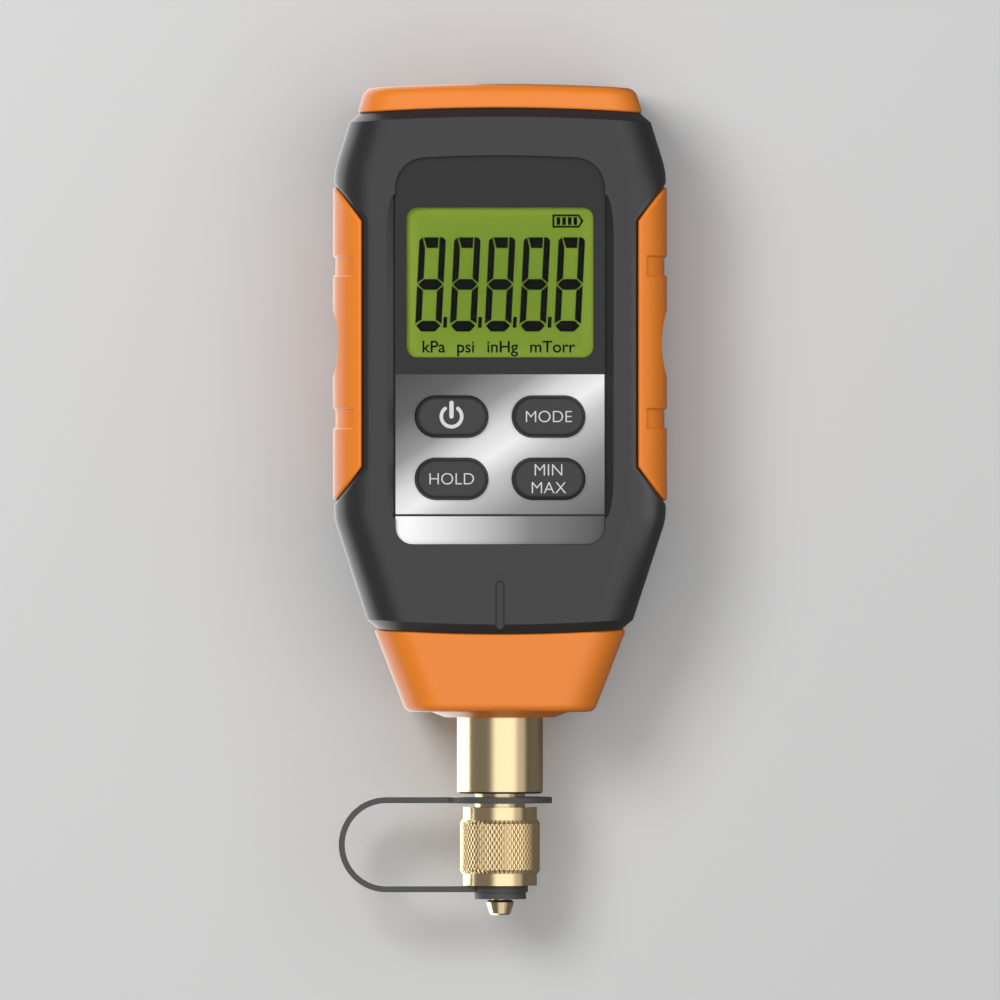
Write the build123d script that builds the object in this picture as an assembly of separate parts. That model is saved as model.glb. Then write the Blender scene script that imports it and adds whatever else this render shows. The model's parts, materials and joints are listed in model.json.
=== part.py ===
from build123d import *
from functools import cache
from math import cos, radians, sin, sqrt, tan
import os

# Digital vacuum gauge lying on its back. X runs across the case, +Y towards its top end and
# +Z out of its face. The origin is under the middle of the whole gauge, on the surface it lies on.
# All sizes are millimetres.

# Case
case_half_width = 28.95
case_top_y = 68.4
case_low_y = -23.3
shoulder_bend_y = 57.5
shoulder_angle = 17.3
shoulder_bend_radius = 13.0
waist_bend_y = -3.3
waist_angle = 18.0
waist_bend_radius = 10.0
side_round = 6.5
end_bevel_length = 1.6
end_bevel_inset = 1.45
crown_radius = 350.0
heel_radius = 290.0
face_wall = 2.2
side_wall = 3.8
end_wall = 3.0
cavity_round = 4.0
seam_gap = 0.3
seam_depth = 0.35

# Top bumper
bumper_top_y = 72.6
bumper_inset = 0.9
bumper_wall = 2.2
bumper_round = 2.0
bumper_lip_round = 0.4

# Bottom boot
boot_top_half_x = 21.75
boot_low_half_x = 16.45
boot_top_half_z = 14.3
boot_low_half_z = 13.4
boot_low_y = -37.0
boot_corner = 7.0
boot_end_round = 1.6
boot_lip_round = 0.5
boot_wall = 2.2
collar_top_radius = 12.2
collar_low_radius = 9.6
collar_height = 1.0

# Side grips
grip_band = 4.85
grip_top_y = 48.65
grip_low_y = 5.8
grip_slant = 53.7
grip_depth = 1.9
grip_proud = 0.18
grip_corner = 0.8
grip_reach = 3.0
grip_edge_round = 0.45
pocket_lip_round = 1.4
finger_y = 27.3
finger_width = 11.5
finger_depth = 0.9
notch_ys = (40.8, 14.2)
notch_width = 3.15
notch_depth = 0.43
notch_inset = 1.45
notch_slope = 0.3

# Label recess, label and display window
recess_depth = 1.3
recess_slope = 49.0
label_side_margin = 1.85
label_top_y = 60.0
label_low_y = -7.7
label_top_corner = 5.2
label_low_corner = 3.0
label_crown_radius = 230.0
label_thickness = 0.35
label_gap = 0.1
window_width = 32.7
window_height = 26.3
window_y = 37.95
window_corner = 1.9
lens_lip = 0.8
lens_thickness = 1.0
lens_gap = 0.05

# Display module
display_side_margin = 1.9
display_end_margin = 2.1
display_glass = 1.4
display_gap = 0.1
display_step_gap = 0.1
bezel_wall = 1.5
bezel_ledge = 1.0
strip_width = 2.0
strip_inset = 1.2
strip_end_gap = 0.5

# Keys
key_width = 12.6
key_height = 7.1
key_pitch_x = 16.9
key_top_row_y = 14.55
key_low_row_y = 3.7
key_proud = 1.2
key_rim_round = 0.8
key_gap = 0.15
key_flange = 1.1
key_flange_thickness = 0.8
key_flange_gap = 0.1
key_stem_radius = 1.8
key_travel = 0.8
dome_radius = 3.4
dome_top_radius = 2.3
dome_wall = 0.5
mat_thickness = 0.8
mat_margin = 1.5
mat_corner = 1.0
stem_gap = 0.1

# Circuit board
board_half_width = 21.5
board_low_y = -10.0
board_step_y = 55.5
board_top_y = 61.0
board_tab_half_width = 15.5
board_tab_lap = 5.0
board_thickness = 1.6
board_headroom = 2.5
board_drop = 4.5
board_corner = 1.5
board_screw_radius = 1.0
board_screw_head = 2.0
board_screw_head_height = 1.2
board_screw_bite = 3.0
board_screw_end_gap = 0.2
board_boss_radius = 2.3
board_screw_places = ((-18.8, -7.0), (18.8, -7.0), (-12.0, 58.2), (12.0, 58.2))
chip_size = 12.0
chip_height = 1.4
chip_y = 28.0
regulator_size = 5.0
regulator_place = (-11.0, 12.0)
buzzer_radius = 4.0
buzzer_height = 3.5
buzzer_y = -5.4
buzzer_port_radius = 1.0

# Case screws
screw_radius = 1.25
screw_head_radius = 2.4
screw_head_height = 1.8
screw_sink = 3.0
screw_gap = 0.1
screw_reach = 8.0
screw_end_gap = 0.2
screw_slot_width = 0.7
screw_slot_depth = 0.9
boss_radius = 3.0
back_boss_extra = 0.4
case_screw_places = ((-19.3, 59.6), (19.3, 59.6), (-17.2, -14.6), (17.2, -14.6))

# Battery and its bay
battery_width = 26.5
battery_length = 46.4
battery_thickness = 17.5
battery_low_y = 1.0
battery_rest_z = 2.4
battery_corner = 2.0
terminal_height = 2.1
terminal_radius = 2.8
terminal_spacing = 12.7
bay_gap = 0.3
bay_wall = 1.4
bay_wall_height = 14.0
clip_thickness = 3.4
clip_height = 12.5
clip_gap = 0.15
door_half_width = 15.6
door_low_y = -8.6
door_top_y = 52.5
door_plate = 1.2
door_gap = 0.2
door_ledge = 1.4
door_corner = 2.0
door_screw_y = -4.9
door_screw_radius = 1.0
door_screw_head = 1.9
door_screw_length = 5.5
door_grip_ribs = 5
door_rib_pitch = 2.2
door_rib_width = 0.9
door_rib_length = 16.0
door_rib_depth = 0.5
door_rib_top_gap = 8.0
door_boss_wall = 0.7
door_sink_depth = 1.0
door_screw_end_gap = 0.5

# Brass fitting, from the tip of the flare up to the sensor socket
barrel_radius = 7.5
barrel_low_y = -51.35
barrel_chamfer = 0.35
neck_radius = 4.37
neck_low_y = -53.9
thread_radius = 5.5
thread_low_y = -60.6
thread_chamfer = 0.5
flare_angle = 45.0
flare_tip_radius = 2.9
flare_tip_y = -63.3
port_radius = 2.0
fitting_gap = 0.1
flange_radius = 9.6
flange_top_y = -29.0
flange_thickness = 2.5
socket_top_y = -14.0
socket_floor_y = -23.0
socket_radius = 4.75

# Sensor
sensor_radius = 4.6
sensor_length = 8.6
sensor_pin_radius = 0.3
sensor_pin_length = 3.0
sensor_pin_circle = 2.2
sensor_pins = 4
seal_thickness = 1.4
seal_ring_radius = 3.6

# Flare cap
cap_top_y = -53.75
cap_low_y = -67.45
cap_band_radius = 6.45
cap_top_band = 2.2
cap_low_band = 2.1
knurl_radius = 7.0
knurl_chamfer = 0.35
cap_bore_gap = 0.07
cap_seal_thickness = 1.0
cap_seal_gap = 0.1
stem_radius = 1.5
barb_top_y = -69.95
barb_top_radius = 2.1
barb_wide_y = -70.4
barb_wide_radius = 2.43
barb_low_y = -72.6
barb_low_radius = 1.8
barb_tip_round = 0.25

# Retaining strap
strap_thickness = 1.05
strap_width = 4.5
strap_ring_radius = 9.1
strap_ring_y = -52.5
strap_ring_gap = 0.13
strap_eyelet_radius = 4.9
strap_boss_radius = 4.55
strap_boss_height = 1.2
strap_eyelet_gap = 0.1
strap_outer_x = -28.2

# Small raised mark on the lower end of the face
mark_width = 1.0
mark_top_y = -14.35
mark_end_gap = 0.75
mark_proud = 0.3
mark_moat_width = 0.3
mark_moat_depth = 0.45

# Places worked out from the sizes above
far = 100.0
flat_radius = 10000.0
margin = 1.0
skin_margin = 0.05
level_limit = 0.001
plan_reach = 45.0
boot_overlap = 3.0
plan_top_y = 85.0
plan_low_y = -38.0
board_back_z = battery_rest_z + battery_thickness + board_headroom
board_face_z = board_back_z + board_thickness
face_inside_z = board_face_z + board_drop
recess_floor_z = face_inside_z + face_wall
case_depth = recess_floor_z + recess_depth
axis_z = case_depth / 2
screw_tip_z = axis_z + screw_reach
label_face_z = recess_floor_z + label_thickness
grip_inner_x = case_half_width - grip_band
notch_inner_x = grip_inner_x + notch_inset
label_half_width = window_width / 2 + label_side_margin
recess_spread = recess_depth * tan(radians(recess_slope))
mark_low_y = case_low_y + mark_end_gap
display_width = window_width + 2 * display_side_margin
display_height = window_height + 2 * display_end_margin
lens_low_z = recess_floor_z - lens_thickness
display_face_z = lens_low_z - lens_gap
display_top_z = face_inside_z - display_gap
display_low_z = display_top_z - display_glass
key_face_z = label_face_z + key_proud
flange_face_z = face_inside_z - key_flange_gap
flange_low_z = flange_face_z - key_flange_thickness
dome_height = key_travel + dome_wall
dome_top_z = board_face_z + mat_thickness + dome_height
key_places = {
    "key_power": (-key_pitch_x / 2, key_top_row_y),
    "key_mode": (key_pitch_x / 2, key_top_row_y),
    "key_hold": (-key_pitch_x / 2, key_low_row_y),
    "key_minmax": (key_pitch_x / 2, key_low_row_y),
}
battery_top_y = battery_low_y + battery_length
flange_low_y = flange_top_y - flange_thickness
boot_flare_x = boot_overlap * (boot_top_half_x - boot_low_half_x) / (case_low_y - boot_low_y)
boot_flare_z = boot_overlap * (boot_top_half_z - boot_low_half_z) / (case_low_y - boot_low_y)
cap_bore_radius = thread_radius + cap_bore_gap
cap_seal_top_y = flare_tip_y - cap_seal_gap
cap_floor_y = cap_seal_top_y - cap_seal_thickness
strap_eyelet_top_y = cap_low_y - strap_eyelet_gap
strap_eyelet_y = strap_eyelet_top_y - strap_thickness / 2


# Flats, blocks and turned forms

def arc_across(y, radius):
    """An arc across the case at y, bulging up for a positive radius and down for a negative one."""
    size = abs(radius)
    drop = size - sqrt(size ** 2 - plan_reach ** 2)
    end_y = y - drop if radius > 0 else y + drop
    return ThreePointArc((-plan_reach, end_y), (0, y), (plan_reach, end_y))


def band(top_y, top_radius, low_y, low_radius):
    """Everything between two arcs across the case."""
    top = arc_across(top_y, top_radius)
    low = arc_across(low_y, low_radius)
    sides = [Line(top @ 0, low @ 0), Line(top @ 1, low @ 1)]
    plan = make_face([top, low, *sides])
    return extrude(Pos(0, 0, -far / 2) * plan, 2 * far)


def flank_line(inset):
    """The right flank seen from the front, drawn in by inset."""
    half = case_half_width - inset
    shoulder_y = shoulder_bend_y - inset * tan(radians(shoulder_angle / 2))
    waist_y = waist_bend_y + inset * tan(radians(waist_angle / 2))
    top_half = half - (plan_top_y - shoulder_y) * tan(radians(shoulder_angle))
    low_half = half - (waist_y - plan_low_y) * tan(radians(waist_angle))
    return FilletPolyline(
        (top_half, plan_top_y),
        (half, shoulder_y),
        (half, waist_y),
        (low_half, plan_low_y),
        radius=[shoulder_bend_radius - inset, waist_bend_radius - inset],
    )


def flank_block(inset, face_inset, rounding):
    """The case between its flanks, run on past both ends, with rounded long edges."""
    right = flank_line(inset)
    left = mirror(right, about=Plane.YZ)
    ends = [Line(right @ 0, left @ 0), Line(right @ 1, left @ 1)]
    plan = make_face([right, left, *ends])
    block = extrude(Pos(0, 0, face_inset) * plan, case_depth - 2 * face_inset)
    level = block.edges().filter_by(lambda edge: edge.bounding_box().size.Z < level_limit)
    long = level.filter_by(lambda edge: plan_low_y + margin < edge.center().Y < plan_top_y - margin)
    return fillet(long, rounding)


@cache
def skin(inset):
    """The case's outer form drawn in evenly by inset, run on past both ends."""
    return flank_block(inset, inset, side_round - inset)


@cache
def layer(outer, inner):
    """What lies between two skins."""
    return skin(outer) - skin(inner)


def turned(points):
    """A body turned about the fitting's axis, from (radius, y) points in order."""
    profile = make_face(Polyline(*points, close=True))
    return Pos(0, 0, axis_z) * revolve(profile, Axis.Y)


def rod(radius, top_y, low_y):
    """A plain round bar on the fitting's axis."""
    return turned([(0, top_y), (radius, top_y), (radius, low_y), (0, low_y)])


def column(radius, place, low_z, top_z):
    """A plain upright round bar."""
    return Pos(place[0], place[1], low_z) * extrude(Circle(radius), top_z - low_z)


def slab(half_x, low_y, top_y, low_z, top_z, corner):
    """A flat plate with rounded corners, even about the middle of the case."""
    outline = RectangleRounded(2 * half_x, top_y - low_y, corner)
    return Pos(0, (low_y + top_y) / 2, low_z) * extrude(outline, top_z - low_z)


def boot_block(inset):
    """The tapered boot below the case, drawn in by inset."""
    sections = []
    for y, half_x, half_z in (
        (case_low_y + boot_overlap, boot_top_half_x + boot_flare_x, boot_top_half_z + boot_flare_z),
        (boot_low_y, boot_low_half_x, boot_low_half_z),
    ):
        plane = Plane(origin=(0, y, axis_z), x_dir=(1, 0, 0), z_dir=(0, 1, 0))
        outline = RectangleRounded(2 * (half_x - inset), 2 * (half_z - inset), boot_corner - inset)
        sections.append(plane * outline)
    return loft(sections)


# Outer case as one body, before it is parted into two shells

def bevelled_ends(body):
    """The body with both its end faces bevelled all round."""
    for end in (-1, 0):
        face = body.faces().sort_by(Axis.Y)[end]
        body = chamfer(face.edges(), end_bevel_inset, end_bevel_length, reference=face)
    return body


def case_body():
    return bevelled_ends(skin(0) & band(case_top_y, crown_radius, case_low_y, -heel_radius))


def top_core():
    """What the top bumper is moulded over."""
    core_top_y = bumper_top_y - bumper_wall
    return skin(bumper_inset + bumper_wall) & band(core_top_y, crown_radius, case_top_y - end_wall, crown_radius)


def boot_core():
    """What the bottom boot is moulded over."""
    return boot_block(boot_wall) & band(case_low_y + end_wall, -heel_radius, boot_low_y + boot_wall, -flat_radius)


def cavity():
    inner = flank_block(side_wall, face_wall, cavity_round)
    return inner & band(case_top_y - end_wall, crown_radius, case_low_y + end_wall, -heel_radius)


def grip_plan(grow):
    """A side grip's outline seen from the front, on the right, drawn out by grow."""
    slope = tan(radians(grip_slant))
    lift = grow / cos(radians(grip_slant))
    inner_x = grip_inner_x - grow
    outer_x = case_half_width + grip_reach

    def top_at(x):
        return grip_top_y + (x - grip_inner_x) * slope + lift

    def low_at(x):
        return grip_low_y - (x - grip_inner_x) * slope - lift

    corners = (
        (inner_x, top_at(inner_x)),
        (outer_x, top_at(outer_x)),
        (outer_x, low_at(outer_x)),
        (inner_x, low_at(inner_x)),
    )
    return make_face(FilletPolyline(*corners, radius=grip_corner + grow, close=True))


def grip_prism(grow):
    return prism(grip_plan(grow), -margin, case_depth + margin)


def both_sides(solid):
    return solid + mirror(solid, about=Plane.YZ)


def fitting_room():
    """The bore and the wider seat that the two shells hold the brass fitting in."""
    bore = rod(barrel_radius + fitting_gap, socket_top_y, boot_low_y - margin)
    seat = rod(flange_radius + fitting_gap, flange_top_y + fitting_gap, flange_low_y - fitting_gap)
    return bore + seat


def outer_edges(solid, plan_room, deep):
    """The edges whose middles are within the room and outside the deep form."""
    edges = solid.edges().filter_by(lambda edge: plan_room.is_inside(edge.center()))
    return edges.filter_by(lambda edge: not deep.is_inside(edge.center()))


def hollow_case():
    """The whole case, hollow, with its seats for the grips, the bumper, the boot and the fitting."""
    body = case_body() + top_core() + boot_core() - cavity() - fitting_room()
    body -= both_sides(grip_prism(0) & layer(-margin, grip_depth))
    lips = outer_edges(body, both_sides(grip_prism(skin_margin)), skin(skin_margin))
    body = fillet(lips, pocket_lip_round)
    seam = Pos(0, 0, axis_z) * Box(2 * far, 2 * far, seam_gap)
    outside = band(case_top_y, crown_radius, case_low_y, -heel_radius)
    return body - (seam & outside & layer(-margin, seam_depth))


# Front shell

def label_plan(grow):
    """The label's outline with its arched top edge, drawn out by grow."""
    half = label_half_width + grow
    top_y = label_top_y + grow
    low_y = label_low_y - grow
    drop = label_crown_radius - sqrt(label_crown_radius ** 2 - half ** 2)
    top = ThreePointArc((-half, top_y - drop), (0, top_y), (half, top_y - drop))
    rest = Polyline(top @ 1, (half, low_y), (-half, low_y), top @ 0)
    plan = make_face([top, rest])
    upper = plan.vertices().sort_by(Axis.Y)[-2:]
    plan = fillet(upper, label_top_corner + grow)
    lower = plan.vertices().sort_by(Axis.Y)[:2]
    return fillet(lower, label_low_corner + grow)


def window_plan(grow):
    outline = RectangleRounded(window_width + 2 * grow, window_height + 2 * grow, window_corner + grow)
    return Pos(0, window_y) * outline


def key_plan(place, grow):
    return Pos(*place) * SlotOverall(key_width + 2 * grow, key_height + 2 * grow)


def prism(plan, low_z, top_z):
    return Pos(0, 0, low_z) * extrude(plan, top_z - low_z)


def label_recess():
    """Room for the label, upright at its ends and sloped out to the face along its sides."""
    room = prism(label_plan(label_gap), recess_floor_z, case_depth + margin)
    top_y = label_top_y - label_top_corner - recess_spread
    low_y = label_low_y + label_low_corner + recess_spread
    foot = Rectangle(2 * (label_half_width + label_gap), top_y - low_y)
    slopes = extrude(foot, recess_depth + margin, taper=-recess_slope)
    return room + Pos(0, (top_y + low_y) / 2, recess_floor_z) * slopes


def mark_outline(grow):
    """The raised mark seen from the front, drawn out by grow."""
    length = mark_top_y - mark_low_y
    outline = SlotOverall(length + 2 * grow, mark_width + 2 * grow, rotation=90)
    return Pos(0, (mark_top_y + mark_low_y) / 2) * outline


def front_shell(case):
    shell = split(case, Plane.XY.offset(axis_z), keep=Keep.TOP)
    recess_floor = label_recess()
    floor_back = prism(label_plan(face_wall), face_inside_z, case_depth - face_wall)
    shell += floor_back & cavity()
    for place in board_screw_places:
        shell += column(board_boss_radius, place, board_face_z, face_inside_z + margin)
    for place in case_screw_places:
        shell += column(boss_radius, place, axis_z, case_depth - face_wall)
    shell -= prism(mark_outline(mark_moat_width), case_depth - mark_moat_depth, case_depth + margin)
    shell += prism(mark_outline(0), case_depth - face_wall, case_depth + mark_proud)
    shell -= recess_floor
    shell -= prism(window_plan(lens_lip + lens_gap), lens_low_z, case_depth)
    shell -= prism(window_plan(0), face_inside_z - margin, case_depth)
    for place in key_places.values():
        shell -= prism(key_plan(place, key_gap), face_inside_z - margin, case_depth)
    for place in board_screw_places:
        shell -= column(board_screw_radius, place, board_face_z, board_face_z + board_screw_bite)
    for place in case_screw_places:
        shell -= column(screw_radius, place, axis_z, screw_tip_z)
    return shell


# Back shell

def door_outline(grow, low_z, top_z):
    return slab(
        door_half_width + grow,
        door_low_y - grow,
        door_top_y + grow,
        low_z,
        top_z,
        door_corner + grow,
    )


def door_opening(grow, low_z, top_z):
    """The way in to the battery, inside the door's ledge and clear of its screw."""
    low_y = battery_low_y - bay_gap
    top_y = door_top_y - door_ledge
    return slab(
        door_half_width - door_ledge + grow,
        low_y - grow,
        top_y + grow,
        low_z,
        top_z,
        door_corner,
    )


def bay_walls():
    """Ribs that hold the battery and its snap connector."""
    half = battery_width / 2 + bay_gap
    top_z = face_wall + bay_wall_height
    low_y = battery_low_y - bay_gap
    top_y = battery_top_y + clip_gap + clip_thickness + clip_gap
    outer = slab(half + bay_wall, low_y - bay_wall, top_y + bay_wall, face_wall, top_z, battery_corner)
    inner = slab(half, low_y, top_y, face_wall - margin, top_z + margin, battery_corner / 2)
    return outer - inner


def back_shell(case):
    shell = split(case, Plane.XY.offset(axis_z), keep=Keep.BOTTOM)
    shell += bay_walls()
    boss_top_z = face_wall + door_screw_length
    shell += column(door_screw_head + door_boss_wall, (0, door_screw_y), face_wall, boss_top_z)
    for place in case_screw_places:
        shell += column(boss_radius + back_boss_extra, place, face_wall, axis_z)
    shell -= door_outline(door_gap, -margin, door_plate)
    shell -= door_opening(0, -margin, face_wall)
    shell -= column(door_screw_radius, (0, door_screw_y), 0, boss_top_z - door_screw_end_gap)
    for place in case_screw_places:
        shell -= column(screw_radius + screw_gap, place, -margin, axis_z + margin)
        shell -= column(screw_head_radius + screw_gap, place, -margin, screw_sink)
    return shell


# Soft outer pieces

def top_bumper():
    block = skin(bumper_inset) & band(bumper_top_y, crown_radius, case_top_y, crown_radius)
    block = fillet(block.faces().sort_by(Axis.Y)[-1].edges(), bumper_round)
    lip = block.faces().sort_by(lambda face: face.center().Y)[0]
    block = fillet(lip.edges(), bumper_lip_round)
    return block - top_core()


def bottom_boot():
    block = boot_block(0) & band(case_low_y, -heel_radius, boot_low_y - margin, -flat_radius)
    block = fillet(block.faces().sort_by(Axis.Y)[0].edges(), boot_end_round)
    block = fillet(block.faces().sort_by(Axis.Y)[-1].edges(), boot_lip_round)
    collar = turned([
        (0, boot_low_y + boot_wall),
        (collar_top_radius, boot_low_y + boot_wall),
        (collar_top_radius, boot_low_y),
        (collar_low_radius, boot_low_y - collar_height),
        (0, boot_low_y - collar_height),
    ])
    bore = rod(barrel_radius + fitting_gap, case_low_y + margin, boot_low_y - 2 * collar_height)
    return block + collar - boot_core() - bore


def notch_bar(y, grow):
    """A bar in from the right at a notch of the grip, with its two walls drawn out by grow."""
    length = case_half_width + grip_reach - notch_inner_x
    return Pos(notch_inner_x + length / 2, y, axis_z) * Box(length, notch_width + 2 * grow, 2 * case_depth)


def right_grip():
    grip = grip_prism(0) & layer(-grip_proud, grip_depth)
    border = grip_prism(skin_margin) - grip_prism(-skin_margin)
    grip = fillet(outer_edges(grip, border, skin(0)), grip_edge_round)
    finger_radius = (finger_width ** 2 / 4 + finger_depth ** 2) / (2 * finger_depth)
    finger_x = case_half_width + grip_proud - finger_depth + finger_radius
    grip -= column(finger_radius, (finger_x, finger_y), -margin, case_depth + margin)
    for notch_y in notch_ys:
        grip -= notch_bar(notch_y, 0) & layer(-margin, notch_depth - grip_proud)
        border = notch_bar(notch_y, skin_margin) - notch_bar(notch_y, -skin_margin)
        grip = chamfer(outer_edges(grip, border, skin(0)), notch_slope)
    return grip


# Label, window and display

def face_label():
    plan = label_plan(0) - window_plan(0)
    for place in key_places.values():
        plan -= key_plan(place, key_gap)
    return prism(plan, recess_floor_z, label_face_z)


def lcd_window():
    return prism(window_plan(lens_lip), lens_low_z, recess_floor_z)


def display_plan(grow):
    return Pos(0, window_y) * Rectangle(display_width + 2 * grow, display_height + 2 * grow)


def lcd_panel():
    glass = prism(display_plan(0), display_low_z, display_top_z)
    return glass + prism(window_plan(-display_step_gap), display_top_z, display_face_z)


def lcd_frame():
    outer = prism(display_plan(bezel_wall), board_face_z, display_top_z)
    seat = prism(display_plan(display_gap), display_low_z, display_top_z + margin)
    hollow = prism(display_plan(-bezel_ledge), board_face_z - margin, display_low_z)
    return outer - seat - hollow


def lcd_connector():
    """The two rubber strips under the display's long edges."""
    strips = []
    strip_length = display_width - 2 * (bezel_ledge + strip_end_gap)
    for side in (-1, 1):
        middle_y = window_y + side * (display_height / 2 - bezel_ledge - strip_inset)
        strip = Box(strip_length, strip_width, display_low_z - board_face_z)
        strips.append(Pos(0, middle_y, (display_low_z + board_face_z) / 2) * strip)
    return strips


# Keys and their mat

def key(place):
    cap = prism(key_plan(place, 0), flange_face_z, key_face_z)
    cap = fillet(cap.faces().sort_by(Axis.Z)[-1].edges(), key_rim_round)
    cap += prism(key_plan(place, key_flange), flange_low_z, flange_face_z)
    return cap + column(key_stem_radius, place, dome_top_z + stem_gap, flange_low_z)


def keypad_mat():
    half_x = key_pitch_x / 2 + dome_radius + mat_margin
    low_y = key_low_row_y - dome_radius - mat_margin
    top_y = key_top_row_y + dome_radius + mat_margin
    foot_z = board_face_z + mat_thickness
    mat = slab(half_x, low_y, top_y, board_face_z, foot_z, mat_corner)
    inner_height = dome_height + mat_thickness - dome_wall
    for x, y in key_places.values():
        dome = Cone(dome_radius, dome_top_radius, dome_height)
        room = Cone(dome_radius - dome_wall, dome_top_radius - dome_wall, inner_height)
        mat += Pos(x, y, foot_z + dome_height / 2) * dome
        mat -= Pos(x, y, board_face_z + inner_height / 2) * room
    return mat


# Circuit board and what it carries

def circuit_board():
    main = slab(board_half_width, board_low_y, board_step_y, board_back_z, board_face_z, board_corner)
    tab_low_y = board_step_y - board_tab_lap
    tab = slab(board_tab_half_width, tab_low_y, board_top_y, board_back_z, board_face_z, board_corner)
    board = main + tab
    for place in board_screw_places:
        board -= column(board_screw_radius + screw_gap, place, board_back_z - margin, board_face_z + margin)
    return board


def screw(radius, head_radius, head_height, length):
    """A slotted pan screw standing on its head, with its tip up."""
    body = extrude(Circle(head_radius), head_height)
    body = fillet(body.faces().sort_by(Axis.Z)[0].edges(), head_height / 3)
    body += Pos(0, 0, head_height) * extrude(Circle(radius), length)
    slot = Pos(0, 0, screw_slot_depth / 2) * Box(4 * head_radius, screw_slot_width, screw_slot_depth)
    return body - slot


def board_screws():
    length = board_thickness + board_screw_bite - board_screw_end_gap
    one = screw(board_screw_radius, board_screw_head, board_screw_head_height, length)
    head_z = board_back_z - board_screw_head_height
    return [Pos(x, y, head_z) * one for x, y in board_screw_places]


def case_screws():
    head_z = screw_sink - screw_head_height
    length = screw_tip_z - screw_sink - screw_end_gap
    one = screw(screw_radius, screw_head_radius, screw_head_height, length)
    return [Pos(x, y, head_z) * one for x, y in case_screw_places]


def board_parts():
    """Processor, regulator and buzzer, soldered under the board."""
    chip = Pos(0, chip_y, board_back_z - chip_height / 2) * Box(chip_size, chip_size, chip_height)
    x, y = regulator_place
    regulator = Pos(x, y, board_back_z - chip_height / 2) * Box(regulator_size, regulator_size, chip_height)
    buzzer_low_z = board_back_z - buzzer_height
    buzzer = column(buzzer_radius, (0, buzzer_y), buzzer_low_z, board_back_z)
    buzzer -= column(buzzer_port_radius, (0, buzzer_y), buzzer_low_z, buzzer_low_z + buzzer_height / 2)
    return [chip, regulator, buzzer]


# Battery, its connector and its door

def battery():
    half = battery_width / 2
    top_z = battery_rest_z + battery_thickness
    block = slab(half, battery_low_y, battery_top_y, battery_rest_z, top_z, battery_corner)
    middle_z = battery_rest_z + battery_thickness / 2
    for side in (-1, 1):
        knob = Cylinder(terminal_radius, terminal_height, rotation=(90, 0, 0))
        block += Pos(side * terminal_spacing / 2, battery_top_y + terminal_height / 2, middle_z) * knob
    return block


def battery_clip():
    middle_z = battery_rest_z + battery_thickness / 2
    middle_y = battery_top_y + clip_gap + clip_thickness / 2
    body = Pos(0, middle_y, middle_z) * Box(battery_width, clip_thickness, clip_height)
    body = fillet(body.edges().filter_by(Axis.Y), battery_corner)
    body = fillet(body.edges().filter_by(Axis.Z), battery_corner / 2)
    for side in (-1, 1):
        cup = Cylinder(terminal_radius + clip_gap, 2 * terminal_height, rotation=(90, 0, 0))
        body -= Pos(side * terminal_spacing / 2, battery_top_y + clip_gap, middle_z) * cup
    return body


def battery_door():
    door = door_outline(0, 0, door_plate)
    door += door_opening(-door_gap, door_plate, face_wall)
    ribs_y = door_top_y - door_rib_top_gap
    for step in range(door_grip_ribs):
        rib_y = ribs_y - step * door_rib_pitch
        cut = Box(door_rib_length, door_rib_width, 2 * door_rib_depth)
        door -= Pos(0, rib_y, 0) * cut
    door -= column(door_screw_radius + screw_gap, (0, door_screw_y), -margin, door_plate + margin)
    sink = Cone(door_screw_head + screw_gap, door_screw_radius + screw_gap, door_sink_depth)
    return door - Pos(0, door_screw_y, door_sink_depth / 2) * sink


def door_screw():
    head_height = door_sink_depth - screw_gap
    middle_z = screw_gap + head_height / 2
    head = Pos(0, door_screw_y, middle_z) * Cone(door_screw_head - screw_gap, door_screw_radius, head_height)
    tip_z = face_wall + door_screw_length - 2 * door_screw_end_gap
    shank = column(door_screw_radius, (0, door_screw_y), head_height, tip_z)
    slot = Pos(0, door_screw_y, 0) * Box(4 * door_screw_head, screw_slot_width, head_height)
    return head + shank - slot


# Brass fitting, sensor and flare cap

def brass_fitting():
    cone_root_radius = flare_tip_radius + (thread_low_y - flare_tip_y) * tan(radians(flare_angle))
    cone_root = min(cone_root_radius, thread_radius - thread_chamfer)
    return turned([
        (port_radius, flare_tip_y),
        (flare_tip_radius, flare_tip_y),
        (cone_root, flare_tip_y + (cone_root - flare_tip_radius) / tan(radians(flare_angle))),
        (cone_root, thread_low_y),
        (thread_radius, thread_low_y + thread_chamfer),
        (thread_radius, neck_low_y - thread_chamfer),
        (neck_radius, neck_low_y),
        (neck_radius, barrel_low_y),
        (barrel_radius - barrel_chamfer, barrel_low_y),
        (barrel_radius, barrel_low_y + barrel_chamfer),
        (barrel_radius, flange_low_y),
        (flange_radius, flange_low_y),
        (flange_radius, flange_top_y),
        (barrel_radius, flange_top_y),
        (barrel_radius, socket_top_y - barrel_chamfer),
        (barrel_radius - barrel_chamfer, socket_top_y),
        (socket_radius, socket_top_y),
        (socket_radius, socket_floor_y),
        (port_radius, socket_floor_y),
    ])


def sensor_seal():
    ring = Torus(seal_ring_radius, seal_thickness / 2, rotation=(90, 0, 0))
    return Pos(0, socket_floor_y + seal_thickness / 2, axis_z) * ring


def vacuum_sensor():
    low_y = socket_floor_y + seal_thickness
    can = rod(sensor_radius, low_y + sensor_length, low_y)
    for x, z in [(place.position.X, place.position.Y) for place in PolarLocations(sensor_pin_circle, sensor_pins)]:
        pin = Cylinder(sensor_pin_radius, sensor_pin_length, rotation=(90, 0, 0))
        can += Pos(x, low_y + sensor_length + sensor_pin_length / 2, axis_z + z) * pin
    return can


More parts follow.
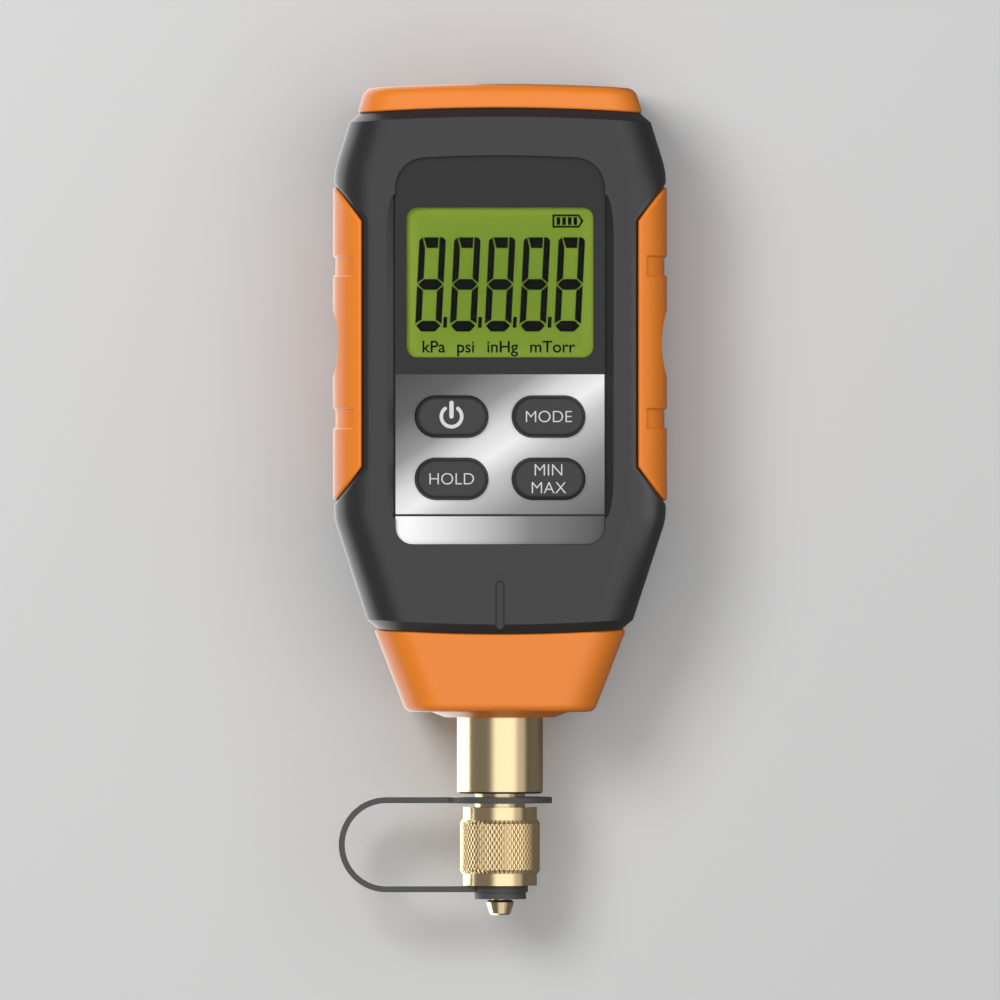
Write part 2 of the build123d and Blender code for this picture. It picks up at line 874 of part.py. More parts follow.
def cap_shell():
    top_band_y = cap_top_y - cap_top_band
    low_band_y = cap_low_y + cap_low_band
    return turned([
        (cap_bore_radius, cap_top_y),
        (cap_band_radius, cap_top_y),
        (cap_band_radius, top_band_y),
        (knurl_radius - knurl_chamfer, top_band_y),
        (knurl_radius, top_band_y - knurl_chamfer),
        (knurl_radius, low_band_y + knurl_chamfer),
        (knurl_radius - knurl_chamfer, low_band_y),
        (cap_band_radius, low_band_y),
        (cap_band_radius, cap_low_y),
        (stem_radius, cap_low_y),
        (stem_radius, barb_top_y),
        (barb_top_radius, barb_top_y),
        (barb_wide_radius, barb_wide_y),
        (barb_low_radius, barb_low_y + barb_tip_round),
        (barb_low_radius - barb_tip_round, barb_low_y),
        (0, barb_low_y),
        (0, cap_floor_y),
        (cap_bore_radius, cap_floor_y),
    ])


def cap_seal():
    radius = cap_bore_radius - cap_seal_gap
    return rod(radius, cap_seal_top_y, cap_floor_y)


def strap():
    """Ring, band and eyelet of the moulded strap, with the band bent round in a loop."""
    loop_radius = (strap_ring_y - strap_eyelet_y) / 2
    loop_x = strap_outer_x + strap_thickness / 2 + loop_radius
    ring_edge_x = -strap_ring_radius + strap_width / 4
    eyelet_edge_x = -strap_eyelet_radius + strap_width / 4
    middle_y = (strap_ring_y + strap_eyelet_y) / 2
    upper = Line((ring_edge_x, strap_ring_y), (loop_x, strap_ring_y))
    bend = ThreePointArc(upper @ 1, (loop_x - loop_radius, middle_y), (loop_x, strap_eyelet_y))
    lower = Line(bend @ 1, (eyelet_edge_x, strap_eyelet_y))
    route = Wire([upper, bend, lower])
    start = Plane(origin=upper @ 0, x_dir=(0, 0, 1), z_dir=(-1, 0, 0))
    tape = sweep(start * Rectangle(strap_width, strap_thickness), path=route)
    tape = Pos(0, 0, axis_z) * tape
    half = strap_thickness / 2
    ring = rod(strap_ring_radius, strap_ring_y + half, strap_ring_y - half)
    eyelet = rod(strap_eyelet_radius, strap_eyelet_y + half, strap_eyelet_y - half)
    boss_low_y = strap_eyelet_y - half - strap_boss_height
    boss = rod(strap_boss_radius, strap_eyelet_y, boss_low_y)
    solid = tape + ring + eyelet + boss
    solid -= rod(neck_radius + strap_ring_gap, strap_ring_y + margin, strap_ring_y - margin)
    return solid - rod(stem_radius + strap_eyelet_gap, strap_eyelet_y + margin, boss_low_y - margin)


# Writing the pieces

def write(name, solids):
    if isinstance(solids, list):
        solids = Compound(children=solids)
    export_step(solids, os.path.join("parts", name + ".step"))


os.makedirs("parts", exist_ok=True)
case = hollow_case()
grip = right_grip()
pieces = {
    "front_shell": front_shell(case),
    "back_shell": back_shell(case),
    "top_bumper": top_bumper(),
    "bottom_boot": bottom_boot(),
    "right_grip": grip,
    "left_grip": mirror(grip, about=Plane.YZ),
    "face_label": face_label(),
    "lcd_window": lcd_window(),
    "lcd_panel": lcd_panel(),
    "lcd_frame": lcd_frame(),
    "lcd_connector": lcd_connector(),
    "keypad_mat": keypad_mat(),
    "circuit_board": circuit_board(),
    "board_screws": board_screws(),
    "board_parts": board_parts(),
    "case_screws": case_screws(),
    "battery": battery(),
    "battery_clip": battery_clip(),
    "battery_door": battery_door(),
    "door_screw": door_screw(),
    "brass_fitting": brass_fitting(),
    "sensor_seal": sensor_seal(),
    "vacuum_sensor": vacuum_sensor(),
    "cap_shell": cap_shell(),
    "cap_seal": cap_seal(),
    "strap": strap(),
}
for name, place in key_places.items():
    pieces[name] = key(place)
for name, solids in pieces.items():
    write(name, solids)
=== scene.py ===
"""Looks of the digital vacuum gauge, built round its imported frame."""

import json
from math import copysign, cos, pi, radians, sin, tau

import bmesh
import bpy
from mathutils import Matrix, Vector


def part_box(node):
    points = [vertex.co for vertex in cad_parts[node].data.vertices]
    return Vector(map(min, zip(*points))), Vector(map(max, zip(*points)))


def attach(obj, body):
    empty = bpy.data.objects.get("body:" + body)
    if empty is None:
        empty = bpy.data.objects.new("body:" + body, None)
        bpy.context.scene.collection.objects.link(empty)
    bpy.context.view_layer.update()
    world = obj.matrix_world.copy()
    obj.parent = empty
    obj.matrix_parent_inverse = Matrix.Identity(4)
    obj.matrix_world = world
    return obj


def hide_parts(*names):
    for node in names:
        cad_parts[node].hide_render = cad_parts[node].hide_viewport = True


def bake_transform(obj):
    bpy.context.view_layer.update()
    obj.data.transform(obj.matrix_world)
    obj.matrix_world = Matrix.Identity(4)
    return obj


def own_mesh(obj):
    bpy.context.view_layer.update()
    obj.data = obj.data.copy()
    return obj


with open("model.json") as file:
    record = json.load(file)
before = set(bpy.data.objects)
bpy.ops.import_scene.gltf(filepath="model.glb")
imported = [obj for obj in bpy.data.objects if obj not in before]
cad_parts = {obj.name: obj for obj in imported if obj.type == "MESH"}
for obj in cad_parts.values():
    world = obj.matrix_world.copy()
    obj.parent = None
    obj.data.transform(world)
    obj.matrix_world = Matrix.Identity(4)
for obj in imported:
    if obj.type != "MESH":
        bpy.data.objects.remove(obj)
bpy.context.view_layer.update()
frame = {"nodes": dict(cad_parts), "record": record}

MM = 0.001
SURFACE_MARGIN = 0.02 * MM

# Camera and floor
VIEW_WIDTH = 175 * MM
CAMERA_HEIGHT = 4.0
SENSOR_WIDTH = 36.0
FLOOR_SIZE = 12.0
FLOOR_GREY = 0.6
FLOOR_ROUGHNESS = 0.7
BOUNCE_GREY = 0.12

# Lights
KEY_PLACE = (-0.3, 0.25, 0.65)
KEY_SIZE = (0.3, 0.3)
KEY_POWER = 3.0
SHEEN_SIZE = 0.6
SHEEN_POWER = 2.7
SHEEN_LIFT = 0.3 * MM
SHEEN_EDGE_X = -4 * MM
RECESS_GLOW_PLACE = (60 * MM, 17 * MM, 47 * MM)
RECESS_GLOW_SIZE = (70 * MM, 36 * MM)
RECESS_GLOW_POWER = 0.0115

# Studio panels: degrees from straight up towards the right, and brightness there
STUDIO_PANELS = (
    (-90, 0.1), (-28, 0.1), (-11, 0.66), (38, 0.66), (50, 0.3), (68, 0.28), (76, 0.06), (90, 0.06),
)
PANEL_ENDS = ((0.45, 1.0), (0.8, 0.12))
STUDIO_STRENGTH = 2.0
BACKDROP_LEVEL = 0.42

# Label print, with painted sheen on its silver
LABEL_DARK = (0.018, 0.018, 0.019)
LABEL_HALF_WIDTH = 18.2 * MM
SILVER_TOP_Y = 21.9 * MM
SILVER_MIDDLE_Y = 9.7 * MM
SILVER_SLANT = radians(33.7)
SILVER_REACH = 22 * MM
# Painted sheen: greys of the silver print across a slanted band, standing in for the reflection of the lights
SILVER_PAINTED_SHEEN = (
    (0.02, 0.05), (0.2, 0.1), (0.34, 0.27), (0.44, 0.64),
    (0.52, 0.8), (0.6, 0.52), (0.75, 0.25), (0.95, 0.11),
)
# Painted sheen on the silver strip: light at its left end and dark at its right, standing in for reflected
# light
STRIP_PAINTED_SHEEN = ((0.05, 0.9), (0.35, 0.55), (0.65, 0.2), (0.98, 0.08))
RULE_TOP_Y = -2.45 * MM
RULE_LOW_Y = -2.85 * MM

# Display colours, from its middle to its rim
DISPLAY_GREENS = (
    (0.3, (0.165, 0.265, 0.022)), (0.8, (0.19, 0.295, 0.027)), (0.98, (0.27, 0.38, 0.04)),
)
DISPLAY_GLOW = 0.1

# Grain and tool lines, with sizes per metre
GRAIN_DEPTH = 0.01 * MM
FINE_GRAIN = 9000
RUBBER_GRAIN = 7000
STRAP_GRAIN = 6000
TOOL_LINES = 9000
TOOL_LINE_STRENGTH = 0.5

# Display marks
MARK_THICKNESS = 0.02 * MM
MARK_LIFT = 0.015 * MM
DIGIT_COUNT = 5
DIGIT_PITCH = 6.07 * MM
DIGIT_HALF_WIDTH = 2.32 * MM
DIGIT_HALF_HEIGHT = 8.22 * MM
DIGIT_ROW_Y = 37.6 * MM
DIGIT_SLANT = 0.05
BAR_THICKNESS = 1.88 * MM
UPRIGHT_WIDTH = 1.12 * MM
SEGMENT_GAP = 0.17 * MM
SLANTED_GAP = 1.6 * SEGMENT_GAP
LOWER_GAP = 1.2 * SEGMENT_GAP
TOP_BEVEL = 0.5 * UPRIGHT_WIDTH
LOW_BEVEL = 1.2 * UPRIGHT_WIDTH
LOW_TIP_IN = 0.15 * UPRIGHT_WIDTH
LOW_TIP_UP = 0.9 * UPRIGHT_WIDTH
POINT_SIZE = (0.66 * MM, 1.9 * MM)
POINT_Y = 31.0 * MM
POINT_INSET = 0.45 * MM

# Battery sign
BATTERY_PLACE = (11.86 * MM, 48.65 * MM)
BATTERY_HALF = (2.72 * MM, 1.15 * MM)
BATTERY_STROKE = 0.34 * MM
BATTERY_TIP = 0.8 * MM
BATTERY_INNER_TIP = 0.9 * MM
BATTERY_TIP_STROKE = 1.4 * BATTERY_STROKE
BATTERY_BARS = 4
BATTERY_BAR_SIZE = (0.62 * MM, 1.35 * MM)
BATTERY_BAR_PITCH = 0.98 * MM
BATTERY_FIRST_BAR = -1.7

# Unit names: word and place across the display in millimetres
UNIT_WORDS = (("kPa", -11.6), ("psi", -6.0), ("inHg", 0.4), ("mTorr", 9.1))
UNIT_Y = 26.75 * MM
UNIT_HEIGHT = 2.0 * MM
UNIT_WEIGHT = 0.03 * MM

# Keys and their marks
KEYS = ("key_power", "key_mode", "key_hold", "key_minmax")
KEY_WORDS = {
    "key_mode": ("MODE",),
    "key_hold": ("HOLD",),
    "key_minmax": ("MIN", "MAX"),
}
KEY_WORD_HEIGHT = 2.0 * MM
KEY_WORD_WEIGHT = -0.035 * MM
KEY_LINE_PITCH = 3.1 * MM
RING_RADIUS = 1.78 * MM
RING_STROKE = 0.62 * MM
RING_GAP_ANGLE = radians(38)
RING_STEPS = 48
POWER_BAR_TOP = 2.75 * MM
POWER_BAR_LOW = -0.35 * MM
POWER_BAR_WIDTH = 0.75 * MM
ROUND_END_STEPS = 8

# Recess round the label
RECESS_DEPTH = 1.3 * MM
RECESS_SPREAD = 1.495 * MM
LABEL_GAP = 0.1 * MM
LABEL_TOP_CORNER = 5.2 * MM
LABEL_LOW_CORNER = 3.0 * MM
CHEEK_LENGTH = 7.0 * MM
CHEEK_STEPS = 12

# Knurled cap
CAP_BODY_LENGTH = 13.7 * MM
KNURL_TEETH = 56
KNURL_ROWS = 14
KNURL_DEPTH = 0.11 * MM
KNURL_TOP_BAND = 2.2 * MM
KNURL_LOW_BAND = 2.1 * MM
KNURL_RADIUS = 7.0 * MM
KNURL_END_RADIUS = 6.65 * MM

# Thread of the fitting
THREAD_RADIUS = 5.5 * MM
THREAD_DEPTH = 0.62 * MM
THREAD_PITCH = 1.27 * MM
THREAD_TOP_Y = -53.9 * MM
THREAD_LOW_Y = -60.6 * MM
THREAD_COLUMNS = 96
THREAD_ROWS_PER_TURN = 12
THREAD_FLANK = 2.4
THREAD_START = 0.05 * MM

# Sockets of the mix node, which share their names
MIX_FIRST = 6
MIX_SECOND = 7
MIX_RESULT = 2


# Shader nodes

def grey(level):
    return (level, level, level)


def new_material(name, color, roughness, **extra):
    """A principled material with constant numbers on the shader's own sockets."""
    material = bpy.data.materials.new(name)
    material.use_nodes = True
    shader = material.node_tree.nodes["Principled BSDF"]
    shader.inputs["Base Color"].default_value = (*color, 1.0)
    shader.inputs["Roughness"].default_value = roughness
    for socket, value in extra.items():
        shader.inputs[socket.replace("_", " ")].default_value = value
    return material, material.node_tree, shader


def object_point(tree):
    return tree.nodes.new("ShaderNodeTexCoord").outputs["Object"]


def separate(tree, point):
    node = tree.nodes.new("ShaderNodeSeparateXYZ")
    tree.links.new(point, node.inputs["Vector"])
    return node.outputs


def math_node(tree, operation, first, second=0):
    node = tree.nodes.new("ShaderNodeMath")
    node.operation = operation
    for socket, value in zip(node.inputs, (first, second)):
        if isinstance(value, (int, float)):
            socket.default_value = value
        else:
            tree.links.new(value, socket)
    return node.outputs["Value"]


def scaled(tree, value, factor):
    return math_node(tree, "MULTIPLY", value, factor)


def centred(tree, value, full_width):
    """Takes a length from minus to plus half the full width to a share from 0 to 1."""
    return math_node(tree, "ADD", scaled(tree, value, 1 / full_width), 0.5)


def color_ramp(tree, value, stops):
    """Greys or colours along a value from 0 to 1."""
    node = tree.nodes.new("ShaderNodeValToRGB")
    elements = node.color_ramp.elements
    while len(elements) < len(stops):
        elements.new(0.5)
    for element, (place, color) in zip(elements, stops):
        element.position = place
        element.color = (*color, 1.0) if isinstance(color, tuple) else (*grey(color), 1.0)
    tree.links.new(value, node.inputs["Fac"])
    return node.outputs["Color"]


def mix_colors(tree, factor, first, second, blend="MIX"):
    node = tree.nodes.new("ShaderNodeMix")
    node.data_type = "RGBA"
    node.blend_type = blend
    if isinstance(factor, float):
        node.inputs["Factor"].default_value = factor
    else:
        tree.links.new(factor, node.inputs["Factor"])
    for socket, value in ((node.inputs[MIX_FIRST], first), (node.inputs[MIX_SECOND], second)):
        if isinstance(value, tuple):
            socket.default_value = (*value, 1.0)
        else:
            tree.links.new(value, socket)
    return node.outputs[MIX_RESULT]


def bump(tree, shader, height, strength):
    node = tree.nodes.new("ShaderNodeBump")
    node.inputs["Distance"].default_value = GRAIN_DEPTH
    node.inputs["Strength"].default_value = strength
    tree.links.new(height, node.inputs["Height"])
    tree.links.new(node.outputs["Normal"], shader.inputs["Normal"])


# Materials

def plain(name, color, roughness, **extra):
    return new_material(name, color, roughness, **extra)[0]


def grained(name, color, roughness, grain_scale, **extra):
    """Moulded plastic or rubber with a fine even grain."""
    material, tree, shader = new_material(name, color, roughness, **extra)
    grain = tree.nodes.new("ShaderNodeTexNoise")
    grain.inputs["Scale"].default_value = grain_scale
    tree.links.new(object_point(tree), grain.inputs["Vector"])
    bump(tree, shader, grain.outputs["Fac"], 1.0)
    return material


def brass_material(name, color, roughness):
    """Bright turned brass with faint tool lines round it."""
    material, tree, shader = new_material(name, color, roughness, Metallic=1.0)
    along = separate(tree, object_point(tree))["Y"]
    lines = tree.nodes.new("ShaderNodeTexNoise")
    lines.noise_dimensions = "1D"
    lines.inputs["Scale"].default_value = TOOL_LINES
    tree.links.new(along, lines.inputs["W"])
    bump(tree, shader, lines.outputs["Fac"], TOOL_LINE_STRENGTH)
    return material


def painted_silver_sheen(tree, x, y):
    """Brushed silver print with a painted sheen: a light band, painted into its colour in place of reflected
    light, that slants across it.
    """
    across = math_node(tree, "ADD", scaled(tree, x, sin(SILVER_SLANT)), scaled(tree, y, -cos(SILVER_SLANT)))
    from_middle = math_node(tree, "ADD", across, cos(SILVER_SLANT) * SILVER_MIDDLE_Y)
    return color_ramp(tree, centred(tree, from_middle, 2 * SILVER_REACH), SILVER_PAINTED_SHEEN)


def label_material():
    """Dark print above, silver print below, and under a dark rule a silver strip; both silver parts carry
    painted sheen in their colour.
    """
    material, tree, shader = new_material("label_print", LABEL_DARK, 0.42, Specular_IOR_Level=0.3)
    x, y, z = separate(tree, object_point(tree))
    # Painted sheen across the strip, light on the left and dark on the right
    strip = color_ramp(tree, centred(tree, x, 2 * LABEL_HALF_WIDTH), STRIP_PAINTED_SHEEN)
    below_rule = math_node(tree, "LESS_THAN", y, RULE_LOW_Y)
    color = mix_colors(tree, below_rule, painted_silver_sheen(tree, x, y), strip)
    on_rule = math_node(tree, "MULTIPLY", math_node(tree, "LESS_THAN", y, RULE_TOP_Y),
                        math_node(tree, "GREATER_THAN", y, RULE_LOW_Y))
    color = mix_colors(tree, on_rule, color, LABEL_DARK)
    in_dark = math_node(tree, "GREATER_THAN", y, SILVER_TOP_Y)
    color = mix_colors(tree, in_dark, color, LABEL_DARK)
    tree.links.new(color, shader.inputs["Base Color"])
    return material


def display_material():
    """Green display with a faint light of its own, lighter towards its rim."""
    material, tree, shader = new_material("display_green", DISPLAY_GREENS[0][1], 0.5, Specular_IOR_Level=0.05)
    low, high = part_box("lcd_window")
    x, y, z = separate(tree, object_point(tree))
    from_middle = math_node(tree, "SUBTRACT", y, (low[1] + high[1]) / 2)
    off_x = math_node(tree, "ABSOLUTE", scaled(tree, x, 2 / (high[0] - low[0])))
    off_y = math_node(tree, "ABSOLUTE", scaled(tree, from_middle, 2 / (high[1] - low[1])))
    color = color_ramp(tree, math_node(tree, "MAXIMUM", off_x, off_y), DISPLAY_GREENS)
    tree.links.new(color, shader.inputs["Base Color"])
    tree.links.new(color, shader.inputs["Emission Color"])
    shader.inputs["Emission Strength"].default_value = DISPLAY_GLOW
    return material


def floor_material():
    """Pale to the camera, and dim in what it throws back at the part."""
    material, tree, shader = new_material("floor", grey(FLOOR_GREY), FLOOR_ROUGHNESS)
    seen = tree.nodes.new("ShaderNodeLightPath").outputs["Is Camera Ray"]
    color = mix_colors(tree, seen, grey(BOUNCE_GREY), grey(FLOOR_GREY))
    tree.links.new(color, shader.inputs["Base Color"])
    return material


materials = {
    "case_plastic": grained("case_plastic", (0.022, 0.022, 0.023), 0.36, FINE_GRAIN),
    "bumper_rubber": grained("bumper_rubber", (0.8, 0.215, 0.018), 0.34, RUBBER_GRAIN),
    "label_print": label_material(),
    "window_clear": plain("window_clear", (0.02, 0.025, 0.02), 0.05, Alpha=0.05),
    "display_green": display_material(),
    "key_rubber": grained("key_rubber", (0.022, 0.022, 0.023), 0.4, FINE_GRAIN),
    "silicone": plain("silicone", (0.42, 0.42, 0.42), 0.5),
    "board_green": plain("board_green", (0.02, 0.12, 0.05), 0.35),
    "black_plastic": grained("black_plastic", (0.02, 0.02, 0.022), 0.45, FINE_GRAIN),
    "screw_steel": plain("screw_steel", (0.55, 0.55, 0.55), 0.32, Metallic=1.0),
    "battery_jacket": plain("battery_jacket", (0.06, 0.06, 0.065), 0.3, Metallic=0.6),
    "brass": brass_material("brass", (0.86, 0.68, 0.40), 0.2),
    "strap_plastic": grained("strap_plastic", (0.07, 0.07, 0.07), 0.42, STRAP_GRAIN, Specular_IOR_Level=0.3),
    "sensor_metal": plain("sensor_metal", (0.6, 0.6, 0.58), 0.25, Metallic=1.0),
    "seal_rubber": plain("seal_rubber", (0.02, 0.02, 0.02), 0.5),
}
segment_ink = plain("segment_ink", (0.001, 0.0015, 0.0008), 0.6, Specular_IOR_Level=0.05)
mark_ink = plain("mark_ink", (0.62, 0.62, 0.62), 0.5)
knurled_brass = brass_material("knurled_brass", (0.84, 0.62, 0.34), 0.27)

for row in frame["record"]["subparts"]:
    node = frame["nodes"][row["node"]]
    node.material_slots[0].material = materials[row["material_slot"]]


# Pieces

def add_object(name, data):
    piece = bpy.data.objects.new(name, data)
    bpy.context.scene.collection.objects.link(piece)
    return piece


def new_mesh(name, points, faces, material):
    mesh = bpy.data.meshes.new(name)
    mesh.from_pydata(points, [], faces)
    mesh.materials.append(material)
    return mesh


def add_piece(name, data, body):
    piece = add_object(name, data)
    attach(piece, body)
    return piece


def stand_in(node, name):
    """A piece with the same mesh as a CAD node, which it then stands for."""
    source = frame["nodes"][node]
    piece = source.copy()
    piece.data = source.data.copy()
    piece.name = name
    piece.parent = None
    piece.matrix_world = source.matrix_world.copy()
    piece.hide_render = False
    piece.hide_viewport = False
    bpy.context.scene.collection.objects.link(piece)
    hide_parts(node)
    return piece


def plates(outlines, low_z, high_z):
    """Points and faces of thin upright-sided plates from flat outlines given anticlockwise."""
    points, faces = [], []
    for outline in outlines:
        start, count = len(points), len(outline)
        points += [(x, y, low_z) for x, y in outline] + [(x, y, high_z) for x, y in outline]
        faces.append(tuple(start + count + i for i in range(count)))
        faces.append(tuple(start + i for i in reversed(range(count))))
        for i in range(count):
            after = (i + 1) % count
            faces.append((start + i, start + after, start + count + after, start + count + i))
    return points, faces


def mirrored(outline):
    return [(-x, y) for x, y in reversed(outline)]


def moved(outline, across, up):
    return [(across + x, up + y) for x, y in outline]


def rectangle(width, height):
    half_x, half_y = width / 2, height / 2
    return [(-half_x, -half_y), (half_x, -half_y), (half_x, half_y), (-half_x, half_y)]


def arc(radius, start, end, steps):
    angles = [start + (end - start) * i / steps for i in range(steps + 1)]
    return [(radius * cos(angle), radius * sin(angle)) for angle in angles]


# Display marks

def digit_segments():
    """Outlines of the seven segments of one digit about its middle, before its slant."""
    w, h, t, v, g = DIGIT_HALF_WIDTH, DIGIT_HALF_HEIGHT, BAR_THICKNESS, UPRIGHT_WIDTH, SEGMENT_GAP
    top = [(w - v - g, h), (-w + TOP_BEVEL + g, h), (-w + v + SLANTED_GAP, h - t), (w - v - g, h - t)]
    upper_left = [(-w, h - TOP_BEVEL), (-w, g), (-w + v, t / 2 + g), (-w + v, h - t), (-w + TOP_BEVEL, h)]
    upper_right = [(w - v, h), (w - v, t / 2 + g), (w, g), (w, h - TOP_BEVEL), (w - TOP_BEVEL, h)]
    middle = [(-w + g, 0), (-w + v, -t / 2), (w - v, -t / 2), (w - g, 0), (w - v, t / 2), (-w + v, t / 2)]
    lower_left = [(-w, -g), (-w, -h + LOW_BEVEL), (-w + v, -h + t + LOWER_GAP), (-w + v, -t / 2 - g)]
    low_half = [(-w + v, -h + t), (-w + LOW_TIP_IN, -h + LOW_TIP_UP), (-w + v, -h)]
    lower_right = mirrored(lower_left)
    low = low_half + mirrored(low_half)
    return [top, upper_left, upper_right, middle, lower_left, lower_right, low]


def slanted(outline, middle_x, middle_y):
    return [(middle_x + x + y * DIGIT_SLANT, middle_y + y) for x, y in outline]


def digit_row():
    outlines = []
    first_x = -(DIGIT_COUNT - 1) / 2 * DIGIT_PITCH
    for step in range(DIGIT_COUNT):
        middle_x = first_x + step * DIGIT_PITCH
        outlines += [slanted(segment, middle_x, DIGIT_ROW_Y) for segment in digit_segments()]
        if step < DIGIT_COUNT - 1:
            point_x = middle_x + DIGIT_PITCH / 2 - POINT_INSET
            outlines.append(slanted(rectangle(*POINT_SIZE), point_x, POINT_Y))
    return outlines


def battery_sign():
    a, b = BATTERY_HALF
    outer = [(-a, b), (-a, -b), (a - BATTERY_TIP, -b), (a, 0), (a - BATTERY_TIP, b)]
    low, high = -b + BATTERY_STROKE, b - BATTERY_STROKE
    inner = [(-a + BATTERY_STROKE, high), (-a + BATTERY_STROKE, low), (a - BATTERY_INNER_TIP, low),
             (a - BATTERY_TIP_STROKE, 0), (a - BATTERY_INNER_TIP, high)]
    outlines = []
    for i in range(len(outer)):
        after = (i + 1) % len(outer)
        outlines.append([outer[i], outer[after], inner[after], inner[i]])
    for step in range(BATTERY_BARS):
        bar_x = (step + BATTERY_FIRST_BAR) * BATTERY_BAR_PITCH
        outlines.append(moved(rectangle(*BATTERY_BAR_SIZE), bar_x, 0))
    return [moved(outline, *BATTERY_PLACE) for outline in outlines]


def display_segments(low_z):
    points, faces = plates(digit_row() + battery_sign(), low_z, low_z + MARK_THICKNESS)
    mesh = new_mesh("display_segments", points, faces, segment_ink)
    add_piece("display_segments", mesh, "root")


# Lettering

def cap_height_at_size_one():
    curve = bpy.data.curves.new("measure", "FONT")
    curve.body = "H"
    piece = add_object("measure", curve)
    bpy.context.view_layer.update()
    height = piece.dimensions.y
    bpy.data.objects.remove(piece)
    return height


letter_ratio = cap_height_at_size_one()


def word(name, text, place, height, weight, ink, body):
    """Flat raised lettering, centred on place, with capitals of the given height."""
    curve = bpy.data.curves.new(name, "FONT")
    curve.body = text
    curve.align_x = "CENTER"
    curve.size = height / letter_ratio
    curve.extrude = MARK_THICKNESS / 2
    curve.offset = weight
    curve.materials.append(ink)
    piece = add_object(name, curve)
    piece.location = (place[0], place[1] - height / 2, place[2] + MARK_THICKNESS / 2)
    bpy.context.view_layer.update()
    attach(piece, body)


def unit_names(low_z):
    for text, x in UNIT_WORDS:
        place = (x * MM, UNIT_Y, low_z)
        word("unit_" + text, text, place, UNIT_HEIGHT, UNIT_WEIGHT, segment_ink, "root")


def top_middle(node):
    low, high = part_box(node)
    return (low[0] + high[0]) / 2, (low[1] + high[1]) / 2, high[2]


def key_words():
    for key, lines in KEY_WORDS.items():
        x, y, z = top_middle(key)
        for step, text in enumerate(lines):
            place = (x, y + ((len(lines) - 1) / 2 - step) * KEY_LINE_PITCH, z)
            body = key + "_body"
            word("mark_" + text, text, place, KEY_WORD_HEIGHT, KEY_WORD_WEIGHT, mark_ink, body)


def power_ring():
    """A broken ring of short quads, with half a round plate at each of its two ends."""
    start = pi / 2 + RING_GAP_ANGLE
    end = pi / 2 + tau - RING_GAP_ANGLE
    outer = arc(RING_RADIUS + RING_STROKE / 2, start, end, RING_STEPS)
    inner = arc(RING_RADIUS - RING_STROKE / 2, start, end, RING_STEPS)
    ring = [[outer[i], outer[i + 1], inner[i + 1], inner[i]] for i in range(RING_STEPS)]
    for angle, turn in ((start, pi), (end, 0)):
        half_round = arc(RING_STROKE / 2, angle + turn, angle + turn + pi, ROUND_END_STEPS)
        ring.append(moved(half_round, RING_RADIUS * cos(angle), RING_RADIUS * sin(angle)))
    return ring


def power_bar():
    half = POWER_BAR_WIDTH / 2
    top_end = moved(arc(half, 0, pi, ROUND_END_STEPS), 0, POWER_BAR_TOP - half)
    low_end = moved(arc(half, pi, tau, ROUND_END_STEPS), 0, POWER_BAR_LOW + half)
    return top_end + low_end


def power_mark():
    x, y, z = top_middle("key_power")
    outlines = [moved(outline, x, y) for outline in power_ring() + [power_bar()]]
    points, faces = plates(outlines, z, z + MARK_THICKNESS)
    add_piece("mark_power", new_mesh("mark_power", points, faces, mark_ink), "key_power_body")


# Key mat, cut into a piece under each key

def key_mat():
    low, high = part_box("keypad_mat")
    middle = (0, (low[1] + high[1]) / 2, 0)
    for key in KEYS:
        x, y, z = top_middle(key)
        piece = stand_in("keypad_mat", "mat_under_" + key)
        form = bmesh.new()
        form.from_mesh(piece.data)
        for side in ((copysign(1, x), 0, 0), (0, copysign(1, y - middle[1]), 0)):
            parts = form.verts[:] + form.edges[:] + form.faces[:]
            bmesh.ops.bisect_plane(form, geom=parts, plane_co=middle, plane_no=side, clear_inner=True)
        form.to_mesh(piece.data)
        form.free()
        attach(piece, "root")
        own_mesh(piece)


# Label recess, whose sloped sides die away in a curve towards its corners

def recess_cheeks():
    """Fills the square ends of the sloped sides, flush with the face, leaving a curved end."""
    low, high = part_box("face_label")
    inner_x = high[0] + LABEL_GAP
    outer_x = inner_x + RECESS_SPREAD
    top_end_y = high[1] - LABEL_TOP_CORNER - RECESS_SPREAD
    low_end_y = low[1] + LABEL_LOW_CORNER + RECESS_SPREAD
    quarter = arc(1, 0, pi / 2, CHEEK_STEPS)
    outlines = []
    for end_y, way in ((top_end_y, 1), (low_end_y, -1)):
        curve = [(inner_x + RECESS_SPREAD * u, end_y + way * CHEEK_LENGTH * (v - 1)) for u, v in quarter]
        far_y = end_y + way * RECESS_SPREAD
        cheek = curve + [(inner_x, far_y), (outer_x, far_y)]
        right = cheek if way < 0 else list(reversed(cheek))
        outlines += [right, mirrored(right)]
    points, faces = plates(outlines, low[2], low[2] + RECESS_DEPTH)
    mesh = new_mesh("recess_cheeks", points, faces, materials["case_plastic"])
    add_piece("recess_cheeks", mesh, "root")


# Turned brass

fitting_low, fitting_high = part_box("brass_fitting")
axis_z = (fitting_low[2] + fitting_high[2]) / 2


def shrink_band(piece, low_y, high_y, above, radius):
    """Draws what lies further out than above, between two places on the axis, in to a radius."""
    for vertex in piece.data.vertices:
        away = Vector((vertex.co.x, 0, vertex.co.z - axis_z))
        if low_y <= vertex.co.y <= high_y and above < away.length:
            away *= radius / away.length
            vertex.co.x = away.x
            vertex.co.z = axis_z + away.z


def ring_grid(name, columns, rows, radius_at, place_at, split_at, material, body):
    """A sleeve round the fitting's axis, whose cells are split along one diagonal or the other."""
    points = []
    for row in range(rows + 1):
        for column in range(columns):
            angle = tau * column / columns
            radius = radius_at(column, row)
            points.append((radius * sin(angle), place_at(row), axis_z + radius * cos(angle)))
    faces = []
    for row in range(rows):
        for column in range(columns):
            after = (column + 1) % columns
            a, b = row * columns + column, row * columns + after
            c, d = b + columns, a + columns
            faces += [(a, b, c), (a, c, d)] if split_at(column, row) else [(b, c, d), (b, d, a)]
    add_piece(name, new_mesh(name, points, faces, material), body)


